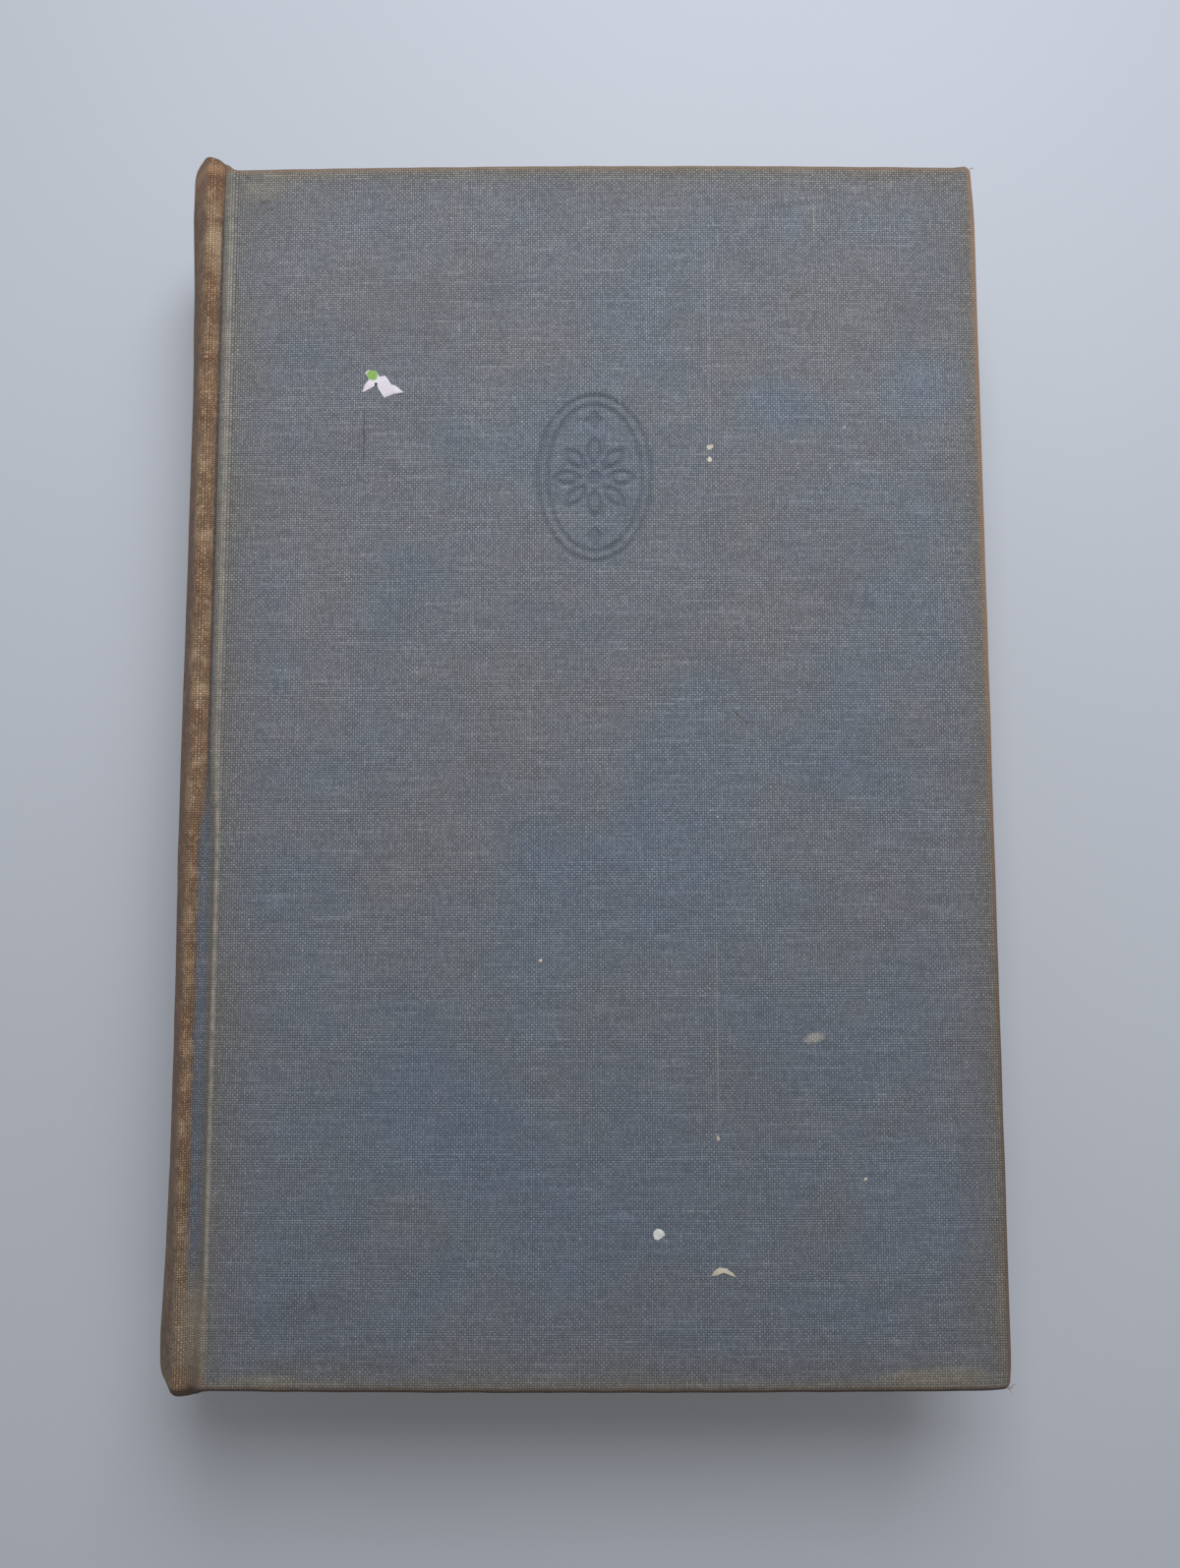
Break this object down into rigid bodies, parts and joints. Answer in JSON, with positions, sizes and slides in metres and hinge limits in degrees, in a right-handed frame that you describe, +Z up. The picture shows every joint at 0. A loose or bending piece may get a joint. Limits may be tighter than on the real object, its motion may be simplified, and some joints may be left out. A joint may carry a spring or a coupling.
{
  "type": "hardback book",
  "caption": "Closed cloth-bound hardback book with a rounded spine, hinged boards, blind-stamped front cover and worn, toned edges.",
  "frame": {"origin": "centre of the base of the closed book, on the surface that its back cover lies on", "axes": "+Z up through the front cover, +Y to the head of the book, -X to the spine"},
  "size_m": [0.151, 0.226, 0.0393],
  "materials": {
    "leaves": "matte",
    "endpaper": "matte",
    "mull": "matte",
    "lining_paper": "matte",
    "spine_cloth": "matte",
    "headband": "matte",
    "greyboard": "matte",
    "cover_cloth": "matte",
    "label_paper": "satin"
  },
  "bodies": {
    "text_block": {"text_block": "leaves", "front_flyleaf": "endpaper", "back_flyleaf": "endpaper", "mull": "mull", "spine_lining": "lining_paper", "spine_inlay": "lining_paper", "spine_cloth": "spine_cloth", "head_band": "headband", "tail_band": "headband"},
    "front_cover": {"front_board": "greyboard", "front_cloth": "cover_cloth", "front_pastedown": "endpaper", "label_remnant": "label_paper"},
    "back_cover": {"back_board": "greyboard", "back_cloth": "cover_cloth", "back_pastedown": "endpaper"}
  },
  "joints": [
    {"name": "front_hinge", "type": "hinge", "parent": "text_block", "child": "front_cover", "pos_m": [-0.0684, 0, 0.0374], "axis": [0, -1, 0], "range_deg": [0, 180]},
    {"name": "back_hinge", "type": "hinge", "parent": "text_block", "child": "back_cover", "pos_m": [-0.0684, 0, 0.0018], "axis": [0, 1, 0], "range_deg": [0, 180]}
  ]
}
